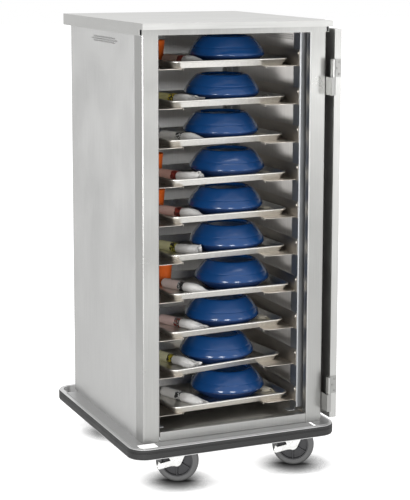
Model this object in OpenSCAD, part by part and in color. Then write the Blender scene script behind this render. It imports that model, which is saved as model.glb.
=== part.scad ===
// Enclosed meal tray cart: a sheet-metal cabinet on swivel casters, with a full-height
// lift-off door folded back against its right side, ten pairs of tray ledges and ten laid trays.
// Origin: floor level, centre of the footprint. +Z up, -Y is the door side, +X is the hinge side.

/* [Cabinet] */
// Width across the side panels
cabinet_w = 680; // [660:5:720]
// Depth from the post faces to the back panel
cabinet_d = 720; // [690:5:760]
// Thickness of the cabinet's sheet metal
sheet = 1.5; // [1:0.25:2]
// Inside radius of the folds
fold_r = 3; // [2:0.5:4]
// Width of each corner post's front face
post_face = 61; // [50:1:64]
// How far each corner post wraps round onto the side
post_wrap = 65; // [45:1:80]
// Depth of the return inside each door jamb
post_return = 25; // [18:1:30]
// Width of the flange that joins the back panel to the sides
back_flange = 20; // [12:1:30]

/* [Cap] */
// Overhang of the cap beyond each side
cap_side = 9; // [9:1:14]
// Overhang of the cap's nose in front of the posts
cap_front = 34; // [32:1:45]
// Overhang of the cap behind the back panel
cap_back = 60; // [20:1:60]
// Height of the cap's side and back skirts
cap_skirt = 41; // [30:1:45]
// Height of the skirt along the nose
nose_skirt = 21; // [18:1:22]
// Width of the hem that turns in under the skirts
cap_hem = 7; // [5:1:8]

/* [Vents] */
// Diameter of one punched hole
vent_hole = 6; // [4:0.5:6]
// Distance between hole centres along a row
vent_pitch = 8.5; // [8.5:0.5:10]
// Holes in the long middle row
vent_count = 31; // [21:2:31]
// Distance from the cap's top down to the vent's middle row
vent_drop = 72; // [65:1:90]

/* [Base] */
// Height of the base rails
rail_h = 28; // [24:1:34]
// Width of the base rails' flanges
rail_w = 35; // [28:1:40]
// Wall of the rails and caster channels
rail_t = 2.5; // [2:0.25:3]
// Width of the channel that carries a pair of casters
caster_channel_w = 96; // [94:1:100]
// Depth of the caster channel
caster_channel_h = 12; // [8:1:14]
// Height of the sill's face above the base rails
sill_rise = 3.5; // [3:0.5:6]

/* [Rack] */
// Vertical distance between ledges
ledge_pitch = 133.35; // [130:0.05:140]
// Height of the lowest ledge above the floor pan
first_ledge = 35; // [30:1:50]
// Height from the top ledge to the underside of the header
headroom = 119; // [112:1:140]
// Width of a ledge's shelf
ledge_w = 112; // [85:1:125]
// Height of a ledge's upturned flange
ledge_flange = 58; // [45:1:64]
// Distance from the post faces, and from the back, to the ledges' ends
ledge_setback = 77; // [70:1:85]
// Clear width between the ledge flanges
rack_gap = 532; // [528:1:545]
// Cut across the front inner corner of a ledge
ledge_chamfer = 12; // [6:1:18]
// Width of an upright's face
upright_w = 27; // [22:1:30]
// Depth of an upright
upright_d = 50; // [40:1:60]
// Distance from the post faces back to the uprights
upright_setback = 50; // [45:1:60]
// Height of the uprights' front flanges above the floor pan
upright_foot = 15; // [10:1:25]

/* [Door] */
// Thickness of the door
door_t = 26; // [22:1:27]
// Gap between the closed door and the post faces, filled by the gasket
door_gap = 4; // [3:0.5:5]
// Distance of the door's edges inside the cabinet's sides
door_inset = 1; // [1:0.5:3]
// Door bottom above the deck plates
door_bottom_gap = 15; // [10:1:20]
// Overlap of the door's top over the header's underside
door_top_lap = 11; // [8:1:14]
// Width of the gasket
gasket_w = 12; // [8:1:16]
// Hinge pin centre outside the cabinet's side
pin_out = 11; // [10:0.5:12]
// Hinge pin centre in front of the closed door's face
pin_ahead = 9; // [8:0.5:10]
// Radius of the hinge pins
pin_r = 3.5; // [3:0.25:4]
// Radius of the hinge barrels
barrel_r = 6.5; // [6:0.25:7]
// Height of one hinge leaf
leaf_h = 62; // [50:1:70]
// Thickness of the hinge leaves
leaf_t = 3; // [2.5:0.25:3.5]
// Upper hinge's joint below the door's top
upper_hinge_drop = 165; // [120:5:200]
// Lower hinge's joint above the door's bottom
lower_hinge_rise = 90; // [80:5:150]
// Width of the recessed door pull
pull_w = 60; // [50:1:80]
// Height of the recessed door pull
pull_h = 130; // [100:1:160]
// Depth of the recessed door pull
pull_d = 18; // [14:1:19]

/* [Bumper] */
// Distance of the bumper's face outside the left side
bumper_left = 57; // [50:1:62]
// Distance of the bumper's face outside the right side, where the open door hangs over it
bumper_right = 40; // [36:1:62]
// Distance of the bumper's face in front of the posts
bumper_front = 60; // [60:1:66]
// Distance of the bumper's face behind the back panel
bumper_back = 76; // [60:1:78]
// Height of the bumper channel
bumper_h = 38; // [32:1:40]
// Depth of the bumper from its face to the channel's back
bumper_depth = 18; // [16:1:20]
// Wall of the bumper channel
bumper_t = 2; // [1.5:0.25:2.5]
// How far the strip stands out of its channel
bumper_proud = 2; // [1:0.5:4]
// Corner radius of the bumper
bumper_r = 62; // [40:1:70]
// Thickness of the deck plates
deck_t = 2; // [1.5:0.25:2.5]
// Width of the channel's lip left bare outside the deck plates
lip_bare = 13; // [8:1:13]

/* [Casters] */
// Diameter of the wheels
wheel_d = 150; // [144:1:150]
// Width of the tyres
wheel_w = 32; // [28:1:34]
// Radius of the moulded wheel centre
hub_rim_r = 56; // [50:1:58]
// Number of ribs on the wheel centre
hub_ribs = 6; // [5:1:8]
// Offset of the wheel's axle behind the swivel axis
trail = 28; // [22:1:28]
// Distance of the swivel axes inside the cabinet's sides
stem_inset_x = 116; // [112:1:125]
// Distance of the swivel axes inside the front and back planes
stem_inset_y = 51; // [51:1:60]
// Direction in which the front casters trail
front_caster_turn = -30; // [-180:1:180]
// Direction in which the rear casters trail
rear_caster_turn = -75; // [-180:1:180]
// Radius of the axle bolts
axle_r = 5; // [4:0.5:6]
// Radius of the kingpins
king_r = 6; // [5:0.5:7]
// Thickness of the pressed caster forks
fork_t = 3.5; // [3:0.25:4]
// Length of the brake pedals from the axle
pedal_l = 66; // [55:1:70]

/* [Trays] */
// Tray width across the rims
tray_w = 460; // [440:1:461]
// Tray depth across the rims
tray_d = 356; // [330:1:380]
// Tray height
tray_h = 25; // [20:1:28]
// Tray sheet thickness
tray_t = 1.5; // [1:0.25:2]
// Slope of the tray's sides, measured across
tray_flare = 18; // [12:1:20]
// Radius of the tray's corners
tray_r = 32; // [30:1:40]
// Radius of the rolled rim
rim_r = 3; // [2:0.25:4]
// Distance from the post faces to the trays' front rims
tray_setback = 90; // [80:1:110]

/* [Meal sets] */
// Largest radius of the meal cover
cover_r = 134; // [125:1:134]
// Height of the cover's top above the tray
cover_top = 98; // [90:1:100]
// Radius of the cover's top ring
cover_ring_r = 85; // [75:1:90]
// Wall of the cover and its base
cover_wall = 4; // [3:0.25:5]
// Height of the seam between the cover and its base
cover_seat = 32; // [28:1:36]
// Radius of a rolled napkin
roll_r = 16; // [12:0.5:18]
// Length of a rolled napkin
roll_l = 205; // [180:5:220]
// Height of a tumbler
cup_h = 78; // [65:1:90]
// Radius of a tumbler's mouth
cup_r = 36; // [30:1:38]

/* [Hidden] */
$fn = 48;

LEVELS = 10;
FOLD_STEPS = 5;
LEFT = -1;
RIGHT = 1;
FRONT = -1;
REAR = 1;

// Clearances
RUNNING = 0.05;
FACE_GAP = 0.3;
SEAM = 0.5;

// Heights, from the floor up
wheel_r = wheel_d / 2;
crown_z = wheel_d + 3.5;
deck_z = crown_z + fork_t + 1;
body_z = deck_z + deck_t;
floor_z = body_z + rail_h + sheet;
caster_top_z = body_z + rail_h - caster_channel_h;
top_ledge_z = floor_z + first_ledge + (LEVELS - 1) * ledge_pitch;
header_z = top_ledge_z + headroom;
cap_z = header_z + cap_skirt;
roof_z = cap_z - sheet;

// Cabinet planes
side_x = cabinet_w / 2;
front_y = -cabinet_d / 2;
back_y = cabinet_d / 2;
jamb_x = side_x - post_face;

// Rack planes
flange_x = rack_gap / 2;
ledge_front_y = front_y + ledge_setback;
ledge_l = cabinet_d - 2 * ledge_setback;
upright_y = front_y + upright_setback;

// Door planes and hinge axis, with the door folded back against the right side
pin_x = side_x + pin_out;
pin_y = front_y - door_gap - door_t - pin_ahead;
door_w = cabinet_w - 2 * door_inset;
door_bottom = body_z + door_bottom_gap;
door_top = header_z + door_top_lap;
door_h = door_top - door_bottom;
upper_joint_z = door_top - upper_hinge_drop;
lower_joint_z = door_bottom + lower_hinge_rise;

// Bumper ring
ring_x0 = -side_x - bumper_left;
ring_x1 = side_x + bumper_right;
ring_y0 = front_y - bumper_front;
ring_y1 = back_y + bumper_back;
ring_half_x = (ring_x1 - ring_x0) / 2;
ring_half_y = (ring_y1 - ring_y0) / 2;
ring_mid = [(ring_x0 + ring_x1) / 2, (ring_y0 + ring_y1) / 2];
channel_z = deck_z - bumper_h;

// Casters
stem_x = side_x - stem_inset_x;
stem_y = cabinet_d / 2 - stem_inset_y;
race_r = 28;
race_h = 6;
caster_plate_t = 4;
leg_in = wheel_w / 2 + 2.5;
leg_out = leg_in + fork_t;

// How each tray was pushed in, top level first: sideways, inwards, and turned
tray_shift = [22, 14, 6, 10, 24, 22, 30, 9, -2, 22];
tray_in = [10, 15, 15, -6, 14, 20, -4, 6, 12, -8];
tray_turn = [2, 4.5, 4.5, 4, 2.5, 3, 0, 4.5, 8, 2.5];
// Place of each cover on its tray
cover_x = [54, 42, 47, 68, 48, 57, 70, 50, 38, 61];
cover_y = [-28, -36, -36, -18, -34, -40, -14, -28, -36, -14];
// Place and turn of each rolled napkin on its tray
roll_x = [-115, -135, -112, -137, -130, -128, -124, -116, -130, -130];
roll_y = [-45, -30, -55, -45, -55, -20, -46, -38, -25, -40];
roll_turn = [18, 20, 22, 20, 26, 21, 25, 20, 12, 18];
// Levels that carry a tumbler, and the tumblers' sideways places
cup_levels = [1, 4, 5, 7];
cup_x = [-160, -160, -160, -147];
cup_y = 110;
// Levels that carry sugar packets
packet_levels = [1, 3, 4, 5, 8, 10];

// ---- Helpers -------------------------------------------------------------------------

function unit(v) = v / norm(v);
function left_of(v) = [-v[1], v[0]];
function turned(v, a) = [v[0] * cos(a) - v[1] * sin(a), v[0] * sin(a) + v[1] * cos(a)];
function turn(a, b) = atan2(a[0] * b[1] - a[1] * b[0], a * b);
function arc(centre, r, from, to, steps) =
  [for (k = [0:steps]) let (a = from + (to - from) * k / steps) centre + r * [cos(a), sin(a)]];

// One face of a bend at point i of a folded path; side is 1 for its left face, -1 for its right
function bend(path, i, side, t, r) =
  let (
    a = unit(path[i] - path[i - 1]),
    angle = turn(a, path[i + 1] - path[i]),
    way = sign(angle),
    mid_r = r + t / 2,
    centre = path[i] - a * mid_r * tan(abs(angle) / 2) + left_of(a) * way * mid_r,
    face_r = mid_r - way * side * t / 2
  )
  [for (k = [0:FOLD_STEPS]) centre - left_of(turned(a, angle * k / FOLD_STEPS)) * way * face_r];

// One face of a folded sheet
function face_points(path, side, t, r) =
  let (
    last = len(path) - 1,
    first_way = left_of(unit(path[1] - path[0])),
    last_way = left_of(unit(path[last] - path[last - 1]))
  )
  concat(
    [path[0] + first_way * side * t / 2],
    [for (i = [1:1:last - 1]) each bend(path, i, side, t, r)],
    [path[last] + last_way * side * t / 2]
  );

function backwards(list) = [for (i = [len(list) - 1:-1:0]) list[i]];

// Section of a sheet folded along the middle line given by path
module folded(path, t = sheet, r = fold_r) {
  polygon(concat(face_points(path, 1, t, r), backwards(face_points(path, -1, t, r))));
}

// Carries a section round a rectangle with rounded corners; the section's x starts at the corner's centre
module around(half_x, half_y, corner_r) {
  for (k = [0:3]) {
    reach = k % 2 == 0 ? [half_x, half_y] : [half_y, half_x];
    rotate([0, 0, 90 * k])
      translate([reach[0] - corner_r, reach[1] - corner_r, 0]) {
        rotate_extrude(angle = 90) children();
        rotate([90, 0, 0]) linear_extrude(2 * (reach[1] - corner_r)) children();
      }
  }
}

module rounded_rect(half_x, half_y, r) {
  square([2 * half_x, 2 * (half_y - r)], center = true);
  square([2 * (half_x - r), 2 * half_y], center = true);
  for (sx = [-1, 1], sy = [-1, 1])
    translate([sx * (half_x - r), sy * (half_y - r)]) circle(r);
}

module box(low, high) {
  translate(low) cube(high - low);
}

// Draws a left-hand piece as it is, and a right-hand one mirrored
module handed(side) {
  mirror([side == RIGHT ? 1 : 0, 0, 0]) children();
}

// Stands a section drawn in (y, z) across the cart, from x = from to x = to
module across(from, to) {
  translate([from, 0, 0]) rotate([90, 0, 90]) linear_extrude(to - from) children();
}

// ---- Cabinet -------------------------------------------------------------------------

module top_cap() {
  x = side_x + cap_side;
  y0 = front_y - cap_front;
  y1 = back_y + cap_back;
  skirt_z = cap_z - cap_skirt;
  nose_z = cap_z - nose_skirt;
  // The side skirts drop to their full height behind the line of the nose
  step_y = front_y - 3;
  color("gainsboro") {
    box([-x, y0, roof_z], [x, y1, cap_z]);
    box([-x, y0, nose_z], [x, y0 + sheet, cap_z]);
    box([-x, y0, nose_z], [x, y0 + cap_hem, nose_z + sheet]);
    box([-x, y1 - sheet, skirt_z], [x, y1, cap_z]);
    box([-x, y1 - cap_hem, skirt_z], [x, y1, skirt_z + sheet]);
    for (side = [LEFT, RIGHT]) handed(side) {
      box([-x, y0, nose_z], [-x + sheet, step_y, cap_z]);
      box([-x, step_y, skirt_z], [-x + sheet, y1, cap_z]);
      box([-x, step_y, skirt_z], [-x + cap_hem, y1, skirt_z + sheet]);
    }
  }
}

module header() {
  lip = 0.5 * door_gap;
  color("silver") {
    box([-side_x, front_y - lip, header_z], [side_x, front_y, roof_z]);
    box([-jamb_x + SEAM, front_y - lip, header_z], [jamb_x - SEAM, front_y + post_return, header_z + sheet]);
  }
}

// Punched vent: three staggered rows, the middle one longer, so that the ends come to a point
module vent_holes() {
  row_z = vent_pitch * sin(60);
  for (row = [-1, 0, 1]) {
    count = row == 0 ? vent_count : vent_count - 5;
    for (k = [0:count - 1])
      translate([(k - (count - 1) / 2) * vent_pitch, row * row_z]) circle(d = vent_hole, $fn = 16);
  }
}

module side_panel(side) {
  y0 = front_y + post_wrap + SEAM;
  color("silver") handed(side)
    translate([-side_x + sheet, 0, 0]) rotate([90, 0, -90])
      linear_extrude(sheet) difference() {
        translate([-back_y, body_z]) square([back_y - y0, roof_z - body_z]);
        translate([0, cap_z - vent_drop]) vent_holes();
      }
}

// Front corner post: wrap, bend, jamb face and inner return in one folded sheet
module corner_post(side) {
  half = sheet / 2;
  path = [
    [-side_x + half, front_y + post_wrap],
    [-side_x + half, front_y + half],
    [-jamb_x - half, front_y + half],
    [-jamb_x - half, front_y + post_return]
  ];
  color("lightgray") handed(side)
    translate([0, 0, deck_z]) linear_extrude(roof_z - deck_z) folded(path);
}

module back_panel() {
  half = sheet / 2;
  x = side_x - sheet - half;
  path = [
    [-x, back_y - back_flange],
    [-x, back_y - half],
    [x, back_y - half],
    [x, back_y - back_flange]
  ];
  color("silver") translate([0, 0, body_z]) linear_extrude(roof_z - body_z) folded(path);
}

module floor_pan() {
  edge = side_x - sheet;
  back = back_y - sheet - fold_r - FACE_GAP;
  notch_x = jamb_x - SEAM;
  notch_y = front_y + post_wrap;
  color("darkgray") translate([0, 0, floor_z - sheet]) linear_extrude(sheet) difference() {
    translate([-edge, front_y + sheet]) square([2 * edge, back - front_y - sheet]);
    // Clear of the corner posts at the front and of the back panel's flanges behind
    for (sx = [-1, 1]) {
      translate([sx * (notch_x + side_x) / 2, (front_y + notch_y) / 2])
        square([side_x - notch_x, notch_y - front_y], center = true);
      translate([sx * side_x, back_y]) square([4 * sheet + 2 * fold_r, 2 * back_flange + 2], center = true);
    }
  }
}

module sill() {
  half = sheet / 2;
  top = floor_z + sill_rise - half;
  path = [
    [front_y + 14, body_z + half],
    [front_y + half, body_z + half],
    [front_y + half, top],
    [front_y + post_return, top],
    [front_y + post_return, floor_z + half]
  ];
  color("silver") across(-jamb_x + SEAM, jamb_x - SEAM)
    difference() {
      folded(path, sheet, 1.2);
      translate([front_y + post_return - 5, floor_z - 5]) square([10, 5]);
    }
}

// Two side rails joined by the two channels that carry the casters
module base_frame() {
  x1 = side_x - sheet;
  x0 = x1 - rail_w;
  y0 = front_y + post_wrap + 2;
  y1 = back_y - back_flange - 2;
  channel_y = stem_y - caster_channel_w / 2;
  color("darkgray") {
    for (side = [LEFT, RIGHT]) handed(side) {
      box([-x0 - rail_t, y0, body_z], [-x0, y1, body_z + rail_h]);
      box([-x1, y0, body_z], [-x0, y1, body_z + rail_t]);
      box([-x1, y0, body_z + rail_h - rail_t], [-x0, y1, body_z + rail_h]);
    }
    for (end = [FRONT, REAR]) mirror([0, end == FRONT ? 1 : 0, 0])
      translate([0, channel_y, caster_top_z]) {
        reach = min(x0, stem_x + 60, jamb_x - SEAM);
        box([-reach, 0, 0], [reach, caster_channel_w, rail_t]);
        box([-reach, 0, 0], [reach, rail_t, caster_channel_h]);
        box([-reach, caster_channel_w - rail_t, 0], [reach, caster_channel_w, caster_channel_h]);
        // Tie plates carry the channels' ends to the rails
        box([-x0, 0, 0], [-reach + 1, 30, rail_t]);
        box([reach - 1, 0, 0], [x0, 30, rail_t]);
      }
  }
}

// Flat plates that tie the cabinet's underside to the bumper, with openings at the corners
module deck_plates() {
  tuck_x = side_x - 30;
  tuck_y = cabinet_d / 2 - 14;
  post_clear = 2;
  post_back = front_y + post_wrap + SEAM;
  front_edge = front_y - post_clear;
  opening_w = 64;
  opening_out = 25;
  slot_w = 11;
  slot_in = 52;
  corner_in = 32;
  color("gray") translate([0, 0, deck_z]) linear_extrude(deck_t) difference() {
    translate(ring_mid) rounded_rect(ring_half_x - lip_bare, ring_half_y - lip_bare, bumper_r - lip_bare);
    // Open under the cabinet, and clear of the corner posts' feet
    translate([-tuck_x, -tuck_y]) square([2 * tuck_x, 2 * tuck_y]);
    for (x = [-side_x - post_clear, jamb_x - post_clear])
      translate([x, front_edge]) square([post_face + 2 * post_clear, post_back - front_edge]);
    // Opening in front of the left post, and the joint between the front plate and the right one
    translate([-side_x - opening_out, ring_y0]) square([opening_w, front_edge + 1 - ring_y0]);
    translate([side_x - slot_in, ring_y0]) square([slot_w, front_edge + 1 - ring_y0]);
    // Open corners at the back
    for (x = [ring_x0, side_x - corner_in])
      translate([x, back_y - 30]) square([x < 0 ? -side_x + corner_in - x : ring_x1 - x, ring_y1 - back_y + 30]);
  }
}

module bumper_channel() {
  x1 = bumper_r - bumper_proud;
  x0 = bumper_r - bumper_depth;
  z1 = deck_z;
  color("lightgray") translate(ring_mid) around(ring_half_x, ring_half_y, bumper_r) union() {
    translate([x0, channel_z]) square([bumper_t, bumper_h]);
    translate([x0, channel_z]) square([x1 - x0, bumper_t]);
    translate([x0, z1 - bumper_t]) square([x1 - x0, bumper_t]);
  }
}

// Strip section: a flat tongue in the channel, a rounded face and two shallow grooves
module bumper_strip() {
  x0 = bumper_r - bumper_depth + bumper_t + FACE_GAP;
  z0 = channel_z + bumper_t + FACE_GAP;
  h = bumper_h - 2 * (bumper_t + FACE_GAP);
  edge = 4;
  face = bumper_r;
  color([0.22, 0.22, 0.22]) translate(ring_mid) around(ring_half_x, ring_half_y, bumper_r)
    polygon(concat(
      [[x0, z0]],
      arc([face - edge, z0 + edge], edge, -90, 0, 4),
      [[face, z0 + 0.60 * h], [face - 1, z0 + 0.62 * h], [face, z0 + 0.64 * h]],
      [[face, z0 + 0.72 * h], [face - 1, z0 + 0.74 * h], [face, z0 + 0.76 * h]],
      arc([face - edge, z0 + h - edge], edge, 0, 90, 4),
      [[x0, z0 + h]]
    ));
}

// ---- Rack ----------------------------------------------------------------------------

// One upright: a channel whose side wall runs down to a foot on the floor pan
module upright() {
  half = sheet / 2;
  path = [
    [-flange_x - half, upright_d],
    [-flange_x - half, half],
    [-flange_x - upright_w + half, half],
    [-flange_x - upright_w + half, upright_d]
  ];
  translate([0, 0, floor_z + upright_foot]) linear_extrude(roof_z - floor_z - upright_foot) folded(path);
  box([-flange_x - sheet, 12, floor_z], [-flange_x, upright_d, floor_z + upright_foot + 1]);
  box([-flange_x - sheet, 12, floor_z], [-flange_x + 26, upright_d - 8, floor_z + sheet]);
}

module uprights() {
  color("lightgray")
    for (side = [LEFT, RIGHT], end = [FRONT, REAR])
      handed(side) mirror([0, end == REAR ? 1 : 0, 0]) translate([0, upright_y, 0]) upright();
}

// How far a ledge's flange runs on past its shelf, to reach across the upright
flange_ahead = ledge_setback - upright_setback - 4;

// One ledge: a wide shelf with its front inner corner cut off and an upturned flange
module ledge() {
  x0 = -flange_x;
  linear_extrude(sheet) polygon([
    [x0, 0], [x0 + ledge_w - ledge_chamfer, 0], [x0 + ledge_w, ledge_chamfer],
    [x0 + ledge_w, ledge_l], [x0, ledge_l]
  ]);
  box([x0, -flange_ahead, 0], [x0 + sheet, ledge_l + flange_ahead, ledge_flange]);
  // Turned-down edge along the shelf's inner side
  box([x0 + ledge_w - sheet, ledge_chamfer, -6], [x0 + ledge_w, ledge_l, sheet]);
}

module ledges(side) {
  color("silver") handed(side)
    for (i = [0:LEVELS - 1])
      translate([0, ledge_front_y, ledge_z(i + 1) - sheet]) ledge();
}

// Height of a ledge's top face; level 1 is the top one
function ledge_z(level) = top_ledge_z - (level - 1) * ledge_pitch;

// Buttons that hold each ledge flange to its uprights
module ledge_buttons() {
  reach_y = -upright_y - 12;
  color("silver")
    for (side = [LEFT, RIGHT], end = [FRONT, REAR], i = [1:LEVELS])
      handed(side) translate([-flange_x + sheet, end * reach_y, ledge_z(i) + 0.76 * ledge_flange])
        rotate([0, 90, 0]) cylinder(r1 = 5, r2 = 3.5, h = 3, $fn = 24);
}

// ---- Door, drawn closed and swung back about its hinge axis ----------------------------

// Turns what is drawn on the closed door round to where the open door stands
module on_open_door() {
  translate([pin_x, pin_y, 0]) rotate([0, 0, 270]) translate([-pin_x, -pin_y, 0]) children();
}

door_x0 = -side_x + door_inset;
door_x1 = side_x - door_inset;
door_y0 = front_y - door_gap - door_t;
door_y1 = front_y - door_gap;
pull_x = door_x0 + 30;
pull_z = door_bottom + 0.5 * door_h;

module door_outer() {
  color("silver") on_open_door() difference() {
    box([door_x0, door_y0, door_bottom], [door_x1, door_y1 - sheet, door_top]);
    box([door_x0 + sheet, door_y0 + sheet, door_bottom + sheet], [door_x1 - sheet, door_y1, door_top - sheet]);
    box([pull_x, door_y0 - 1, pull_z - pull_h / 2], [pull_x + pull_w, door_y0 + sheet + 1, pull_z + pull_h / 2]);
  }
}

module door_inner() {
  color("lightgray") on_open_door()
    box([door_x0, door_y1 - sheet, door_bottom], [door_x1, door_y1, door_top]);
}

module door_gasket() {
  y0 = door_y1;
  y1 = front_y - FACE_GAP;
  lap = header_z + 3;
  low = door_bottom + 6;
  color("dimgray") on_open_door() difference() {
    box([-side_x + 16, y0, low], [side_x - 16, y1 - 0.5 * door_gap, lap]);
    box([-side_x + 16 + gasket_w, y0 - 1, low + gasket_w], [side_x - 16 - gasket_w, y1 + 1, lap - gasket_w]);
  }
}

// Recessed finger pull: a flanged cup in the door's outer face
module door_pull() {
  rim = 5;
  wall = 1.5;
  color("gray") on_open_door() difference() {
    union() {
      box([pull_x - rim, door_y0 - wall, pull_z - pull_h / 2 - rim],
          [pull_x + pull_w + rim, door_y0, pull_z + pull_h / 2 + rim]);
      box([pull_x, door_y0, pull_z - pull_h / 2], [pull_x + pull_w, door_y0 + pull_d, pull_z + pull_h / 2]);
    }
    box([pull_x + wall, door_y0 - 2 * wall, pull_z - pull_h / 2 + wall],
        [pull_x + pull_w - wall, door_y0 + pull_d - wall, pull_z + pull_h / 2 - wall]);
  }
}

// Magnets on the door's inner face that meet the left post
module door_magnets() {
  magnet_w = 20;
  magnet_h = 70;
  x = -side_x + 16 + gasket_w + 4;
  color("dimgray") on_open_door()
    for (z = [pull_z - 0.3 * door_h, pull_z + 0.3 * door_h])
      box([x, door_y1, z - magnet_h / 2], [x + magnet_w, front_y - FACE_GAP, z + magnet_h / 2]);
}

// ---- Hinges --------------------------------------------------------------------------

// One leaf: barrel, strap tangent to the barrel, and a plate whose length is given
module hinge_leaf(plate_x, plate_l) {
  difference() {
    union() {
      cylinder(r = barrel_r, h = leaf_h);
      box([plate_x, -barrel_r, 0], [0, -barrel_r + leaf_t, leaf_h]);
      box([plate_x, -barrel_r, 0], [plate_x + leaf_t, plate_l, leaf_h]);
    }
    translate([0, 0, -1]) cylinder(r = pin_r, h = leaf_h + 2);
  }
}

// Frame leaves with their fixed pins, which stand up into the door leaves
module hinge_frame_leaves() {
  lap_l = door_t + door_gap + pin_ahead;
  color("silver")
    for (z = [lower_joint_z, upper_joint_z])
      translate([pin_x, pin_y, z - leaf_h]) {
        hinge_leaf(-pin_out, lap_l + 32);
        cylinder(r = pin_r, h = 2 * leaf_h - 8);
      }
}

module hinge_door_leaves() {
  plate_x = -pin_out - door_inset;
  color("silver") on_open_door()
    for (z = [lower_joint_z, upper_joint_z])
      translate([pin_x, pin_y, z + FACE_GAP]) difference() {
        union() {
          cylinder(r = barrel_r, h = leaf_h - FACE_GAP);
          box([plate_x, -barrel_r, 0], [0, -barrel_r + leaf_t, leaf_h - FACE_GAP]);
          box([plate_x, -barrel_r, 0], [plate_x + leaf_t, pin_ahead + door_t - 2, leaf_h - FACE_GAP]);
        }
        translate([0, 0, -1]) cylinder(r = pin_r + RUNNING, h = leaf_h + 2);
      }
}

// Three domed screws through each door leaf
module hinge_screws() {
  face_x = side_x - door_inset + leaf_t;
  color("gray") on_open_door()
    for (z = [lower_joint_z, upper_joint_z], k = [-1:1])
      translate([face_x, door_y0 + 0.5 * door_t + (k == 0 ? -4 : 4), z + leaf_h / 2 + k * 0.34 * leaf_h])
        rotate([0, 90, 0]) cylinder(r1 = 4, r2 = 2.8, h = 2, $fn = 24);
}

// ---- Casters, drawn about their swivel axis with the wheel trailing along +X -----------

module at_caster(side, end) {
  translate([side * stem_x, end * stem_y, 0])
    rotate([0, 0, end == FRONT ? front_caster_turn : rear_caster_turn]) children();
}

// Fixed mounting plates with the upper race and the kingpin, and the four bolt heads under each
module caster_plates() {
  plate_z = caster_top_z - caster_plate_t;
  head_h = 5.5;
  color("lightgray")
    for (side = [LEFT, RIGHT], end = [FRONT, REAR])
      translate([side * stem_x, end * stem_y, 0]) {
        translate([-50, -42, plate_z]) cube([100, 84, caster_plate_t]);
        translate([0, 0, plate_z - race_h]) cylinder(r = race_r + 2, h = race_h);
        translate([0, 0, crown_z]) cylinder(r = king_r, h = plate_z - crown_z);
        for (sx = [-1, 1], sy = [-1, 1])
          translate([sx * 40, sy * 33, plate_z - FACE_GAP - head_h]) cylinder(r = 6.5, h = head_h, $fn = 6);
      }
}

// Side view of one fork leg: a broad skirt under the crown that narrows down to the axle
module leg_shape() {
  axle_end = 17;
  skirt_half = 42;
  skirt_low = crown_z - 31;
  mouth = crown_z - 13;
  polygon([
    [crown_x0, crown_z + fork_t], [crown_x1, crown_z + fork_t], [crown_x1, mouth],
    [trail + skirt_half - 2, skirt_low], [trail + axle_end, wheel_r - 4], [trail - axle_end, wheel_r - 4],
    [trail - skirt_half - 2, skirt_low], [crown_x0, mouth]
  ]);
  translate([trail, wheel_r]) circle(axle_end);
}

// Ends of the fork's crown, behind and ahead of the swivel axis
crown_x0 = -24;
crown_x1 = 74;

module fork() {
  race_top = caster_top_z - caster_plate_t - race_h - FACE_GAP;
  color("gainsboro") difference() {
    union() {
      for (sy = [-1, 1])
        translate([0, sy * (leg_in + fork_t / 2) + fork_t / 2, 0]) rotate([90, 0, 0])
          linear_extrude(fork_t) leg_shape();
      box([crown_x0, -leg_out, crown_z], [crown_x1, leg_out, crown_z + fork_t]);
      translate([0, 0, crown_z]) cylinder(r = race_r, h = race_top - crown_z);
    }
    translate([0, 0, crown_z - 1]) cylinder(r = king_r + RUNNING, h = 60);
    translate([trail, 0, wheel_r]) rotate([90, 0, 0])
      cylinder(r = axle_r + RUNNING, h = 100, center = true);
  }
}

// Axle bolt: head against the inner leg, nut against the outer leg or beyond the brake pedal
module axle_bolt(spacing) {
  head_h = 6;
  inner = leg_out + FACE_GAP;
  outer = leg_out + FACE_GAP + spacing;
  color("silver") translate([trail, 0, wheel_r]) rotate([90, 0, 0]) {
    translate([0, 0, -inner - head_h]) cylinder(r = 9, h = head_h, $fn = 6);
    translate([0, 0, -inner - 1]) cylinder(r = axle_r, h = inner + outer + 2);
    translate([0, 0, outer]) cylinder(r = 9, h = head_h, $fn = 6);
    translate([0, 0, outer]) cylinder(r = axle_r, h = head_h + 3);
  }
}

pedal_t = 3.5;

module fork_assembly(side, end) {
  at_caster(side, end) {
    fork();
    axle_bolt(end == FRONT ? pedal_t + FACE_GAP : 0);
  }
}

// Wheel centre: bored barrel, closed web, ribs and rim
module wheel_centre() {
  barrel = 14;
  half_barrel = leg_in - FACE_GAP;
  rim_half = wheel_w / 2 - 1;
  color([0.35, 0.35, 0.35]) translate([trail, 0, wheel_r]) rotate([90, 0, 0]) difference() {
    union() {
      cylinder(r = barrel, h = 2 * half_barrel, center = true);
      cylinder(r = hub_rim_r, h = 5, center = true);
      difference() {
        cylinder(r = hub_rim_r, h = 2 * rim_half, center = true);
        cylinder(r = hub_rim_r - 4, h = 2 * rim_half + 2, center = true);
      }
      for (k = [0:hub_ribs - 1]) rotate([0, 0, 360 * k / hub_ribs + 30])
        translate([barrel - 2, -2, -rim_half + 3]) cube([hub_rim_r - barrel, 4, 2 * rim_half - 6]);
    }
    cylinder(r = axle_r + RUNNING, h = 100, center = true);
  }
}

// Tyre with a crowned tread and rounded shoulders
module tyre() {
  half = wheel_w / 2;
  shoulder = 7;
  color([0.52, 0.52, 0.52]) translate([trail, 0, wheel_r]) rotate([90, 0, 0])
    rotate_extrude($fn = 96) polygon(concat(
      [[hub_rim_r, -half + 1]],
      arc([wheel_r - shoulder - 1, -half + shoulder], shoulder, -90, -8, 5),
      [[wheel_r, 0]],
      arc([wheel_r - shoulder - 1, half - shoulder], shoulder, 8, 90, 5),
      [[hub_rim_r, half - 1]]
    ));
}

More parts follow.
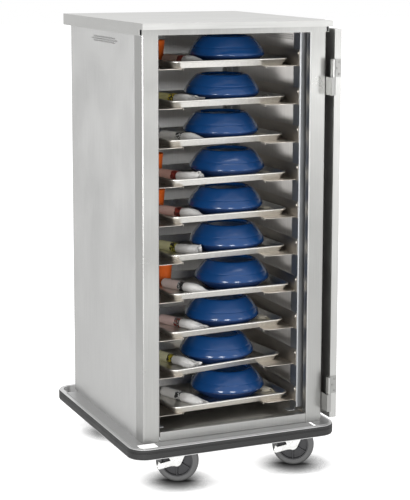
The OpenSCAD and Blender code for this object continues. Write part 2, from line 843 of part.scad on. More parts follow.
// Foot lever on the outer end of the axle: a tapered arm with a turned-out tread
module brake_pedal() {
  tip_drop = 22;
  y0 = -leg_out - FACE_GAP;
  color("gainsboro") difference() {
    union() {
      translate([trail, y0, wheel_r]) rotate([90, 0, 0]) linear_extrude(pedal_t) {
        circle(14);
        polygon([
          [2, 12], [-18, 4], [-pedal_l + 12, -tip_drop + 14], [-pedal_l + 4, -tip_drop + 20],
          [-pedal_l, -tip_drop + 2], [-pedal_l + 6, -tip_drop - 8], [-20, -16], [2, -13]
        ]);
      }
      translate([trail - pedal_l, y0 - pedal_t, wheel_r - tip_drop]) rotate([0, -8, 0])
        box([0, -16, 0], [26, 0.5, 3]);
    }
    translate([trail, 0, wheel_r]) rotate([90, 0, 0])
      cylinder(r = axle_r + RUNNING, h = 4 * leg_out, center = true);
  }
}

// ---- Trays and meal sets --------------------------------------------------------------

// Sheet tray: flat floor, flared sides and a rolled rim
module tray(level) {
  edge = tray_r - tray_flare;
  lip = tray_r - 2 * rim_r;
  color([0.9, 0.89, 0.87]) on_tray(level) {
    linear_extrude(tray_t)
      rounded_rect(tray_w / 2 - tray_flare, tray_d / 2 - tray_flare, tray_r - tray_flare);
    around(tray_w / 2, tray_d / 2, tray_r) union() {
      polygon([
        [edge - 1, 0], [edge, 0], [lip + tray_t, tray_h - rim_r], [lip + tray_t, tray_h],
        [lip, tray_h], [edge - 1, tray_t]
      ]);
      translate([tray_r - rim_r, tray_h - rim_r]) circle(rim_r, $fn = 24);
    }
  }
}

tray_y = front_y + tray_setback + tray_d / 2;

// Carries what is drawn about a tray's middle to where the tray stands
module on_tray(level) {
  i = level - 1;
  translate([tray_shift[i], tray_y + tray_in[i], ledge_z(level)]) rotate([0, 0, tray_turn[i]]) children();
}

// Insulated cover: a rounded belly above the seam, a sloping shoulder, and a ring round the sunk top
module meal_cover() {
  sunk = 7;
  groove_z = 0.6 * cover_top;
  slope = [
    [cover_r, cover_seat + FACE_GAP], [cover_r - 1.5, cover_seat + 6], [cover_r - 4, cover_seat + 12],
    [cover_r - 7.5, cover_seat + 18], [cover_r - 12, groove_z - 2], [cover_r - 15, groove_z],
    [cover_ring_r + 33, groove_z + 3], [cover_ring_r + 27, groove_z + 9], [cover_ring_r + 18, cover_top - 22],
    [cover_ring_r + 9, cover_top - 13], [cover_ring_r + 3, cover_top - 7], [cover_ring_r, cover_top - 2],
    [cover_ring_r - 2, cover_top]
  ];
  ceiling = cover_top - sunk - cover_wall;
  inner = [for (p = slope) if (p[1] < ceiling - 4) [p[0] - cover_wall, p[1]]];
  color([0.10, 0.25, 0.46]) rotate_extrude($fn = 96) polygon(concat(
    slope,
    [[cover_ring_r - 7, cover_top], [cover_ring_r - 12, cover_top - sunk], [0, cover_top - sunk]],
    [[0, ceiling], [cover_ring_r - 4, ceiling]],
    backwards(inner)
  ));
}

// Base the cover sits on: a flat foot and a sloping wall up to the seam
module meal_base() {
  foot_r = cover_r - 43;
  color([0.08, 0.18, 0.34]) rotate_extrude($fn = 96) polygon([
    [0, 0], [foot_r, 0], [foot_r + 6, 3], [cover_r - 4, cover_seat - 5], [cover_r - 1.5, cover_seat],
    [cover_r - cover_wall - 2, cover_seat], [foot_r, 8], [0, 8]
  ]);
}

// Flat pressed on the underside of a rolled napkin where it lies on the tray
roll_flat = 1;

// Keeps what lies above the roll's flat
module above_flat() {
  intersection() {
    children();
    translate([-2 * roll_r, roll_flat - roll_r]) square([4 * roll_r, 3 * roll_r]);
  }
}

// Napkin rolled round its cutlery: the section is the spiral of the cloth, stepped at its free edge
module napkin_roll(level) {
  turns = 32;
  lap = 1.6;
  free_edge = 205;
  section = [for (k = [0:turns - 1]) let (a = 360 * k / turns)
    (roll_r - lap * k / turns) * [cos(a + free_edge), sin(a + free_edge)]];
  color("wheat") translate([0, 0, roll_r - roll_flat]) rotate([90, 0, roll_turn[level - 1]])
    linear_extrude(roll_l, center = true) above_flat() polygon(section);
}

// Paper band round the roll, a little behind its middle
module napkin_band(level) {
  paper = 0.5;
  band_w = 26;
  behind = 12;
  color("firebrick") translate([0, 0, roll_r - roll_flat]) rotate([90, 0, roll_turn[level - 1]])
    translate([0, 0, -behind]) linear_extrude(band_w, center = true) difference() {
      above_flat() circle(roll_r + paper);
      circle(roll_r + RUNNING);
    }
}

module tumbler() {
  wall = 1.6;
  foot = cup_r - 8;
  color([0.93, 0.42, 0.20]) difference() {
    cylinder(r1 = foot, r2 = cup_r, h = cup_h);
    translate([0, 0, 3]) cylinder(r1 = foot - wall, r2 = cup_r - wall, h = cup_h);
  }
}

// Two sugar packets, the upper one laid askew
module packet() {
  half_w = 13;
  half_l = 18;
  thick = 6.5;
  color("beige") {
    box([-half_w, -half_l, 0], [half_w, half_l, thick]);
    translate([0, 1, thick]) rotate([0, 0, 13]) box([1 - half_w, 1 - half_l, 0], [half_w - 1, half_l - 1, thick]);
  }
}

// Cover and base, rolled napkin, and where the level has them a tumbler and packets
module meal(level) {
  i = level - 1;
  cup = search(level, cup_levels);
  on_tray(level) translate([0, 0, tray_t]) {
    translate([cover_x[i], cover_y[i], 0]) {
      meal_cover();
      meal_base();
    }
    translate([roll_x[i], roll_y[i], 0]) {
      napkin_roll(level);
      napkin_band(level);
    }
    if (len(cup) > 0) translate([cup_x[cup[0]], cup_y, 0]) tumbler();
    if (len(search(level, packet_levels)) > 0)
      translate([tray_w / 2 - tray_flare - 18, -52, 0]) packet();
  }
}

// ---- Nodes ---------------------------------------------------------------------------

top_cap();
header();
side_panel(LEFT);  // side_panel_left
side_panel(RIGHT);  // side_panel_right
corner_post(LEFT);  // corner_post_left
corner_post(RIGHT);  // corner_post_right
back_panel();
floor_pan();
sill();
base_frame();
deck_plates();
bumper_channel();
bumper_strip();
uprights();
ledges(LEFT);  // ledges_left
ledges(RIGHT);  // ledges_right
ledge_buttons();
hinge_frame_leaves();
caster_plates();
door_outer();
door_inner();
door_gasket();
door_pull();
door_magnets();
hinge_door_leaves();
hinge_screws();
fork_assembly(LEFT, FRONT);  // fork_front_left
fork_assembly(RIGHT, FRONT);  // fork_front_right
fork_assembly(LEFT, REAR);  // fork_rear_left
fork_assembly(RIGHT, REAR);  // fork_rear_right
at_caster(LEFT, FRONT) wheel_centre();  // wheel_front_left
at_caster(RIGHT, FRONT) wheel_centre();  // wheel_front_right
at_caster(LEFT, REAR) wheel_centre();  // wheel_rear_left
at_caster(RIGHT, REAR) wheel_centre();  // wheel_rear_right
at_caster(LEFT, FRONT) tyre();  // tyre_front_left
at_caster(RIGHT, FRONT) tyre();  // tyre_front_right
at_caster(LEFT, REAR) tyre();  // tyre_rear_left
at_caster(RIGHT, REAR) tyre();  // tyre_rear_right
at_caster(LEFT, FRONT) brake_pedal();  // brake_pedal_left
at_caster(RIGHT, FRONT) brake_pedal();  // brake_pedal_right
tray(1);  // tray_1
tray(2);  // tray_2
tray(3);  // tray_3
tray(4);  // tray_4
tray(5);  // tray_5
tray(6);  // tray_6
tray(7);  // tray_7
tray(8);  // tray_8
tray(9);  // tray_9
tray(10);  // tray_10
meal(1);  // meal_1
meal(2);  // meal_2
meal(3);  // meal_3
meal(4);  // meal_4
meal(5);  // meal_5
meal(6);  // meal_6
meal(7);  // meal_7
meal(8);  // meal_8
meal(9);  // meal_9
meal(10);  // meal_10
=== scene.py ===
"""Looks for an enclosed meal tray cart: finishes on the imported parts, laid meal sets, studio."""

import logging
import math
from dataclasses import dataclass, field
from enum import Enum

import bpy
from mathutils import Matrix, Vector, noise


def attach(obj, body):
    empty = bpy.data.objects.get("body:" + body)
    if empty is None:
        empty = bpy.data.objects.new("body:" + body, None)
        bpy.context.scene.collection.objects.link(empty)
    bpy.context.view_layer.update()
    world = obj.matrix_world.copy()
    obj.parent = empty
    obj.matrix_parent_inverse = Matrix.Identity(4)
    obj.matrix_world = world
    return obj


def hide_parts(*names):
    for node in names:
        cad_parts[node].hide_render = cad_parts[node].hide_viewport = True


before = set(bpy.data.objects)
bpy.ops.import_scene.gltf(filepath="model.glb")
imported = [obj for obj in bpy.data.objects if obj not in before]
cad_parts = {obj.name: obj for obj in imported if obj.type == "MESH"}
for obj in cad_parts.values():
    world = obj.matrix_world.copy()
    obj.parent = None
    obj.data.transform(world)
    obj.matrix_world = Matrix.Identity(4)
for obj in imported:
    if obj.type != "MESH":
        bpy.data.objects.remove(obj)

LOG = logging.getLogger("meal_cart")
MM = 0.001
SENSOR_MM = 36.0

RGBA = tuple[float, float, float, float]
Point = tuple[float, float, float]

# Blender's noise seldom leaves this range
NOISE_LOW, NOISE_HIGH = 0.3, 0.7


# ---- Small helpers ---------------------------------------------------------------------


def linear(code: str) -> RGBA:
    """Turns an sRGB hex colour into Blender's linear values.

    Args:
        code: colour such as "#C8C8C8".

    Returns:
        Linear red, green and blue, and an alpha of 1.
    """

    def channel(value: int) -> float:
        """Gives one channel's linear value."""
        share = value / 255
        return share / 12.92 if share <= 0.04045 else ((share + 0.055) / 1.055) ** 2.4

    red, green, blue = (channel(int(code[k : k + 2], 16)) for k in (1, 3, 5))
    return (red, green, blue, 1.0)


def add_node(
    tree: bpy.types.NodeTree,
    kind: str,
    settings: dict[str, object] | None = None,
    values: dict[str | int, object] | None = None,
    links: dict[str | int, bpy.types.NodeSocket] | None = None,
) -> bpy.types.Node:
    """Adds a shader node with its settings, socket values and incoming links.

    Args:
        tree: the node tree that takes it.
        kind: Blender's node type.
        settings: properties of the node itself.
        values: values of unlinked inputs, by name or number.
        links: output sockets that feed inputs, by name or number.

    Returns:
        The new node.
    """
    made = tree.nodes.new(kind)
    for key, value in (settings or {}).items():
        setattr(made, key, value)
    for key, value in (values or {}).items():
        made.inputs[key].default_value = value
    for key, socket in (links or {}).items():
        tree.links.new(socket, made.inputs[key])
    return made


def blank_material(name: str) -> tuple[bpy.types.Material, bpy.types.NodeTree, bpy.types.Node]:
    """Makes a material that holds only its surface shader.

    Args:
        name: the material's name.

    Returns:
        The material, its node tree and its surface shader.
    """
    made = bpy.data.materials.new(name)
    made.use_nodes = True
    tree = made.node_tree
    tree.nodes.clear()
    shader = add_node(tree, "ShaderNodeBsdfPrincipled")
    add_node(tree, "ShaderNodeOutputMaterial", links={"Surface": shader.outputs["BSDF"]})
    return made, tree, shader


def compute(
    tree: bpy.types.NodeTree,
    operation: str,
    first: bpy.types.NodeSocket,
    second: bpy.types.NodeSocket | float,
) -> bpy.types.NodeSocket:
    """Adds a math node.

    Args:
        tree: the node tree that takes it.
        operation: Blender's name for the operation.
        first: the socket that feeds its first input.
        second: the socket or number of its second input.

    Returns:
        The result's socket.
    """
    made = add_node(tree, "ShaderNodeMath", settings={"operation": operation}, links={0: first})
    if isinstance(second, float):
        made.inputs[1].default_value = second
    else:
        tree.links.new(second, made.inputs[1])
    return made.outputs["Value"]


def noise_node(
    tree: bpy.types.NodeTree,
    vector: bpy.types.NodeSocket,
    size_mm: float,
    detail: float,
    roughness: float = 0.5,
) -> bpy.types.NodeSocket:
    """Adds noise of a given grain size.

    Args:
        tree: the node tree that takes it.
        vector: the coordinates it is read at.
        size_mm: size of its largest features.
        detail: how many finer layers it holds.
        roughness: how strong the finer layers are.

    Returns:
        The noise's value socket.
    """
    values = {"Scale": 1 / (size_mm * MM), "Detail": detail, "Roughness": roughness}
    return add_node(tree, "ShaderNodeTexNoise", values=values, links={"Vector": vector}).outputs["Fac"]


def vary(
    tree: bpy.types.NodeTree, source: bpy.types.NodeSocket, middle: float, reach: float
) -> bpy.types.NodeSocket:
    """Turns a noise into a value that varies about a middle.

    Args:
        tree: the node tree that takes the node.
        source: the noise's value.
        middle: the mean of the result.
        reach: how far the result goes to either side.

    Returns:
        The result's socket.
    """
    values = {
        "From Min": NOISE_LOW,
        "From Max": NOISE_HIGH,
        "To Min": middle - reach,
        "To Max": middle + reach,
    }
    return add_node(tree, "ShaderNodeMapRange", values=values, links={"Value": source}).outputs["Result"]


def toned(tree: bpy.types.NodeTree, code: str, tone: bpy.types.NodeSocket) -> bpy.types.NodeSocket:
    """Scales an sRGB hex colour by a tone and gives the result's socket."""
    made = add_node(
        tree,
        "ShaderNodeVectorMath",
        settings={"operation": "SCALE"},
        values={0: linear(code)[:3]},
        links={"Scale": tone},
    )
    return made.outputs["Vector"]


def deselect_all() -> None:
    """Leaves object mode with nothing selected and nothing active."""
    if bpy.context.object is not None and bpy.context.object.mode != "OBJECT":
        bpy.ops.object.mode_set(mode="OBJECT")
    bpy.ops.object.select_all(action="DESELECT")
    bpy.context.view_layer.objects.active = None


def make_active(piece: bpy.types.Object) -> None:
    """Selects one piece alone and makes it active."""
    deselect_all()
    piece.select_set(True)
    bpy.context.view_layer.objects.active = piece


def settle(piece: bpy.types.Object, name: str) -> bpy.types.Object:
    """Applies modifiers and place, so that the piece's object sits at the origin.

    Args:
        piece: a mesh object.
        name: its final name.

    Returns:
        The same object.
    """
    make_active(piece)
    for modifier in list(piece.modifiers):
        bpy.ops.object.modifier_apply(modifier=modifier.name)
    bpy.ops.object.transform_apply(location=True, rotation=True, scale=True)
    piece.name = name
    piece.data.name = name
    return piece


def smooth(piece: bpy.types.Object, degrees: float) -> None:
    """Shades a piece smooth, with edges sharper than the angle left crisp."""
    make_active(piece)
    bpy.ops.object.shade_smooth_by_angle(angle=math.radians(degrees))


def copy_to(piece: bpy.types.Object, name: str, place: Matrix) -> bpy.types.Object:
    """Copies a finished piece with a mesh of its own and moves the mesh.

    Args:
        piece: the finished piece.
        name: the copy's name.
        place: where the copy's mesh goes.

    Returns:
        The copy.
    """
    made = piece.copy()
    made.data = piece.data.copy()
    made.data.transform(place)
    made.name = name
    made.data.name = name
    bpy.context.scene.collection.objects.link(made)
    return made


def turn_profile(name: str, profile: list[tuple[float, float]], segments: int = 96) -> bpy.types.Object:
    """Turns a profile about Z: a ring is extruded and resized from one profile point to the next.

    Args:
        name: the piece's name.
        profile: radius and height of each ring in mm; a radius of 0 closes the form at a pole.
        segments: points round each ring.

    Returns:
        The piece, with outward faces.
    """
    deselect_all()
    # A pole starts or ends on a ring of 1 mm, which is then closed
    pole_r = 1.0
    first_r, first_z = profile[0]
    start_r = first_r if first_r > 0 else pole_r
    bpy.ops.mesh.primitive_circle_add(
        vertices=segments, radius=start_r * MM, fill_type="NOTHING", location=(0, 0, 0)
    )
    piece = bpy.context.object
    bpy.ops.object.mode_set(mode="EDIT")
    bpy.ops.mesh.select_all(action="SELECT")
    bpy.ops.transform.translate(value=(0, 0, first_z * MM))
    if first_r == 0:
        # The pole is a fan over the first small ring
        bpy.ops.mesh.edge_face_add()
        bpy.ops.mesh.poke()
        bpy.ops.mesh.select_all(action="DESELECT")
        bpy.ops.mesh.select_mode(type="EDGE")
        bpy.ops.mesh.select_non_manifold(extend=False)
    radius, height = start_r, first_z
    for next_r, next_z in profile[1:]:
        goal = next_r if next_r > 0 else pole_r
        bpy.ops.mesh.extrude_edges_move(TRANSFORM_OT_translate={"value": (0, 0, (next_z - height) * MM)})
        share = goal / radius
        bpy.ops.transform.resize(value=(share, share, 1))
        radius, height = goal, next_z
        if next_r == 0:
            bpy.ops.mesh.merge(type="CENTER")
    bpy.ops.mesh.select_all(action="SELECT")
    bpy.ops.mesh.normals_make_consistent(inside=False)
    bpy.ops.object.mode_set(mode="OBJECT")
    return settle(piece, name)


# ---- Finishes --------------------------------------------------------------------------


class Grain(Enum):
    """Direction in which sheet metal was brushed or rolled."""

    UP = ("Z", (1.0, 1.0, 0.012))
    ACROSS = ("X", (0.012, 1.0, 1.0))
    BACK = ("Y", (1.0, 0.012, 1.0))
    NONE = ("Z", (1.0, 1.0, 1.0))


@dataclass(frozen=True)
class SheetMetal:
    """Stainless or aluminium sheet: satin, faintly streaked along its grain, lightly clouded."""

    name: str
    colour: str
    roughness: float
    grain: Grain = Grain.UP
    # Streaks 2.5 mm apart stand for the real 0.1 mm lines, which are too fine to show
    streak_mm: float = 2.5
    streak: float = 0.06
    cloud_mm: float = 180.0
    cloud: float = 0.10
    bump: float = 0.02
    relief_m: float = 0.001
    # Fine brushed lines spread a reflection across the grain
    spread: float = 0.8

    def material(self) -> bpy.types.Material:
        """Builds the finish.

        Returns:
            The material.
        """
        made, tree, shader = blank_material(self.name)
        axis, stretch = self.grain.value
        place = add_node(tree, "ShaderNodeTexCoord").outputs["Object"]
        stretched = add_node(tree, "ShaderNodeMapping", values={"Scale": stretch}, links={"Vector": place})
        streaks = noise_node(tree, stretched.outputs["Vector"], self.streak_mm, detail=3.0, roughness=0.6)
        clouds = noise_node(tree, place, self.cloud_mm, detail=2.0)
        relief = add_node(
            tree,
            "ShaderNodeBump",
            values={"Strength": self.bump, "Distance": self.relief_m},
            links={"Height": streaks},
        )
        if self.grain is not Grain.NONE:
            across = add_node(tree, "ShaderNodeTangent", settings={"direction_type": "RADIAL", "axis": axis})
            shader.inputs["Anisotropic"].default_value = self.spread
            tree.links.new(across.outputs["Tangent"], shader.inputs["Tangent"])
        shader.inputs["Metallic"].default_value = 1.0
        coloured = toned(tree, self.colour, vary(tree, streaks, 1, self.streak))
        tree.links.new(coloured, shader.inputs["Base Color"])
        tree.links.new(vary(tree, clouds, self.roughness, self.cloud / 2), shader.inputs["Roughness"])
        tree.links.new(relief.outputs["Normal"], shader.inputs["Normal"])
        return made


@dataclass(frozen=True)
class Moulded:
    """Moulded plastic, rubber or plain paper: an even colour broken by fine grain and a little scuffing."""

    name: str
    colour: str
    roughness: float
    grain_mm: float = 2.0
    grain: float = 0.05
    scuff_mm: float = 60.0
    scuff: float = 0.10
    bump: float = 0.05
    relief_m: float = 0.0005

    def material(self) -> bpy.types.Material:
        """Builds the finish.

        Returns:
            The material.
        """
        made, tree, shader = blank_material(self.name)
        place = add_node(tree, "ShaderNodeTexCoord").outputs["Object"]
        fine = noise_node(tree, place, self.grain_mm, detail=2.0)
        broad = noise_node(tree, place, self.scuff_mm, detail=4.0)
        relief = add_node(
            tree,
            "ShaderNodeBump",
            values={"Strength": self.bump, "Distance": self.relief_m},
            links={"Height": fine},
        )
        coloured = toned(tree, self.colour, vary(tree, fine, 1, self.grain))
        tree.links.new(coloured, shader.inputs["Base Color"])
        tree.links.new(vary(tree, broad, self.roughness, self.scuff / 2), shader.inputs["Roughness"])
        tree.links.new(relief.outputs["Normal"], shader.inputs["Normal"])
        return made


@dataclass(frozen=True)
class PrintedBand:
    """Coated paper printed with plain blotches of three inks, with no figure in it."""

    name: str
    ground: str
    ink: str
    accent: str
    blotch_mm: float = 6.0
    # A blotch takes the ink or the accent where its own random value is above these
    ink_above: float = 0.55
    accent_above: float = 0.75
    roughness: float = 0.45

    def material(self) -> bpy.types.Material:
        """Builds the finish.

        Returns:
            The material.
        """
        made, tree, shader = blank_material(self.name)
        place = add_node(tree, "ShaderNodeTexCoord")
        blotches = add_node(
            tree,
            "ShaderNodeTexVoronoi",
            values={"Scale": 1 / (self.blotch_mm * MM)},
            links={"Vector": place.outputs["Object"]},
        )
        pick = add_node(tree, "ShaderNodeSeparateColor", links={"Color": blotches.outputs["Color"]})
        inked = compute(tree, "GREATER_THAN", pick.outputs["Red"], self.ink_above)
        accented = compute(tree, "GREATER_THAN", pick.outputs["Green"], self.accent_above)
        # The colour inputs of a mix node are numbers 6 and 7, its colour output is number 2
        under = add_node(
            tree,
            "ShaderNodeMix",
            settings={"data_type": "RGBA"},
            values={6: linear(self.ground), 7: linear(self.ink)},
            links={0: inked},
        )
        over = add_node(
            tree,
            "ShaderNodeMix",
            settings={"data_type": "RGBA"},
            values={7: linear(self.accent)},
            links={0: accented, 6: under.outputs[2]},
        )
        shader.inputs["Roughness"].default_value = self.roughness
        tree.links.new(over.outputs[2], shader.inputs["Base Color"])
        return made


class Finishes:
    """All finishes of the cart, each built once."""

    def __init__(self) -> None:
        """Builds every material."""
        across, back, plain = Grain.ACROSS, Grain.BACK, Grain.NONE
        # Brushed upright: wide soft gleams with no clear reflection
        self.cabinet = SheetMetal("satin_stainless_sheet", "#B8B8B7", 0.50).material()
        # Paler and duller than the same steel outside: painted light that lifts the wall behind the trays
        self.painted_light_lining = SheetMetal("satin_stainless_inner_wall_painted_light", "#D6D3CF", 0.62, spread=0.9).material()
        # Closer satin: the gap behind the door stays dark, its edge catches light
        self.door = SheetMetal("satin_stainless_door", "#B8B8B6", 0.36, spread=0.0).material()
        # Folded frame, darker than the same steel elsewhere: painted shade that tones down the lamps' gleam
        # and leaves the faces round the opening an even mid grey
        self.jamb = SheetMetal("satin_stainless_folded_painted_shade", "#A6A6A4", 0.32, spread=0.0).material()
        # Cooler and darker grey than the rack steel: painted shade on the strips beside the ledges
        self.upright = SheetMetal("rolled_stainless_upright_painted_shade", "#A2A4A6", 0.45, spread=0.0).material()
        # Brushed from side to side: bright from above, darker on its skirts
        self.cap = SheetMetal("satin_stainless_cap", "#BEBEBC", 0.40, grain=across, spread=0.2).material()
        # Dull mill finish of the racks, paler and warmer than the steel outside: painted light and a painted
        # warm reflection in the cabinet's shade
        self.rack = SheetMetal("mill_stainless_rack_painted_light", "#D2CCC4", 0.50, grain=back).material()
        # Dull floor, paler than the steel outside: painted light in the cabinet's shade; it fades towards the
        # back
        self.floor_pan = SheetMetal("mill_stainless_floor_painted_light", "#CCCAC6", 0.45, grain=back).material()
        # Flat grey rim between the cabinet and the bumper
        self.deck = SheetMetal("dull_deck_plate", "#B4B4B4", 0.45, grain=across, spread=0.3).material()
        # Bright line above the bumper strip
        self.channel = SheetMetal("drawn_bumper_channel", "#CFCFCF", 0.35, grain=plain).material()
        # Mid grey leaves that stand out from the post
        self.hinge = SheetMetal("satin_hinge_steel", "#9C9C9A", 0.40, spread=0.0).material()
        # Bright, slightly cloudy plating of forks, plates and pedals
        self.zinc = SheetMetal("bright_zinc_plate", "#E2E2E0", 0.36, grain=plain, cloud_mm=25).material()
        # Warm white aluminium, faintly dimpled by its pressing
        self.pan = SheetMetal(
            "pressed_aluminium_tray", "#E8E6E1", 0.32, grain=plain, streak_mm=9, bump=0.10
        ).material()
        # Nearly black, with a dull sheen on its round edge
        self.bumper = Moulded("bumper_rubber", "#1E1E1E", 0.55).material()
        # Black and dull
        self.gasket = Moulded("gasket_rubber", "#2A2A2A", 0.6).material()
        # Black strip under the gasket
        self.magnet = Moulded("magnet_strip", "#242424", 0.5).material()
        # Black with a soft moulded sheen
        self.pull = Moulded("pull_abs", "#2A2A2A", 0.4).material()
        # Mid grey, dull tread
        self.tyre = Moulded("grey_polyurethane_tyre", "#5E5E5E", 0.55).material()
        # Darker grey wheel centres
        self.hub = Moulded("wheel_polypropylene", "#38383A", 0.5).material()
        # Glossy blue with small highlights over the seam
        self.cover = Moulded(
            "cover_polypropylene", "#123F74", 0.15, grain=0.03, scuff=0.03, bump=0.01
        ).material()
        # Deeper, duller blue under the cover
        self.base = Moulded("base_polypropylene", "#0B2A58", 0.42).material()
        # Soft white tissue with a fine tooth
        self.napkin = Moulded("white_airlaid_paper", "#F1F0EE", 0.9, grain=0.04, bump=0.4).material()
        # Clean orange with a clear highlight
        self.tumbler = Moulded("orange_tumbler_polystyrene", "#F0702C", 0.3).material()
        # Cream paper with a low sheen
        self.packet = Moulded("cream_packet_paper", "#EDE8DA", 0.7, bump=0.2).material()


def dress(node: str, material: bpy.types.Material) -> None:
    """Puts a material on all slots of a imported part."""
    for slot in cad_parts[node].material_slots:
        slot.material = material


# ---- Sub-assemblies --------------------------------------------------------------------


@dataclass
class Cabinet:
    """The sheet-metal body with its rack, base, deck and bumper."""

    finishes: Finishes
    by_finish: dict[str, list[str]] = field(
        default_factory=lambda: {
            "cabinet": ["side_panel_left", "back_panel"],
            # The uprights take the darker grey steel: painted shade on their side faces
            "upright": ["uprights"],
            # The right side panel takes the paler steel: painted light on the wall behind the trays
            "painted_light_lining": ["side_panel_right"],
            # Posts, header and sill take the darker steel: painted shade on the front faces
            "jamb": ["corner_post_left", "corner_post_right", "header", "sill"],
            "cap": ["top_cap"],
            # Ledges, buttons and base frame take the paler, warmer steel: painted light
            "rack": ["ledges_left", "ledges_right", "ledge_buttons", "base_frame"],
            # The floor pan takes the paler steel: painted light inside the cabinet
            "floor_pan": ["floor_pan"],
            "deck": ["deck_plates"],
            "channel": ["bumper_channel"],
            "bumper": ["bumper_strip"],
            "hinge": ["hinge_frame_leaves"],
            "zinc": ["caster_plates"],
        }
    )

    def build(self) -> None:
        """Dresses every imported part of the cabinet."""
        for finish, nodes in self.by_finish.items():
            for node in nodes:
                dress(node, getattr(self.finishes, finish))
                LOG.info("dressed %s", node)


@dataclass
class Door:
    """The door with its gasket, pull, magnets and hinges."""

    finishes: Finishes

    def build(self) -> None:
        """Dresses the door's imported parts."""
        for node in ("door_outer", "door_inner"):
            dress(node, self.finishes.door)
        for node in ("hinge_door_leaves", "hinge_screws"):
            dress(node, self.finishes.hinge)
        dress("door_gasket", self.finishes.gasket)
        dress("door_pull", self.finishes.pull)
        dress("door_magnets", self.finishes.magnet)
        LOG.info("dressed the door")


@dataclass
class Casters:
    """Four casters with their wheels, and the two brake pedals."""

    finishes: Finishes
    corners: tuple[str, ...] = ("front_left", "front_right", "rear_left", "rear_right")

    def build(self) -> None:
        """Dresses the casters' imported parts."""
        for corner in self.corners:
            dress("fork_" + corner, self.finishes.zinc)
            dress("wheel_" + corner, self.finishes.hub)
            dress("tyre_" + corner, self.finishes.tyre)
        for side in ("left", "right"):
            dress("brake_pedal_" + side, self.finishes.zinc)
        LOG.info("dressed the casters")


@dataclass(frozen=True)
class RollShape:
    """How far the front half of a rolled napkin leaves the plain round roll.

    Attributes:
        widen: share added to its width at the front end.
        heighten: share added to its height at the front end.
        swell: share added to its width on the way there.
        pleat: depth of its lengthwise pleats at the front end, as a share of its radius.
        crimp: how far its front edge runs in and out, in mm.
    """

    widen: float
    heighten: float
    swell: float
    pleat: float
    crimp: float


class RollEnd(Enum):
    """How the front end of a rolled napkin lies."""

    FANNED = RollShape(widen=0.34, heighten=0.34, swell=0.12, pleat=0.07, crimp=4.0)
    TAPERED = RollShape(widen=-0.05, heighten=-0.50, swell=0.44, pleat=0.06, crimp=6.0)
    CRUMPLED = RollShape(widen=0.55, heighten=0.05, swell=0.26, pleat=0.30, crimp=14.0)
    FLAP = RollShape(widen=0.55, heighten=-0.20, swell=0.32, pleat=0.10, crimp=10.0)


@dataclass(frozen=True)
class Laid:
    """Where one tray lies, what is on it and where, and the colours of its napkin's sleeve and band.

    Lengths are in mm and turns in degrees. A place on the tray is measured from the tray's centre.

    Attributes:
        level: the tray's level, 1 at the top.
        shift: how far the tray lies to the cart's right.
        inward: how far it lies behind its usual place.
        turn: its turn seen from above.
        cover: where the cover stands, to the right and to the back.
        roll: where the napkin lies, and its own turn.
        end: how the napkin's front end lies.
        sleeve: colour of the paper round the napkin's back half.
        band: ground, ink and accent colours of its band.
        cup: the tumbler's place to the right, if there is a tumbler.
        packet: whether two packets lie at the tray's right edge.
    """

    level: int
    shift: float
    inward: float
    turn: float
    cover: tuple[float, float]
    roll: tuple[float, float, float]
    end: RollEnd
    sleeve: str
    band: tuple[str, str, str]
    cup: float | None = None
    packet: bool = False


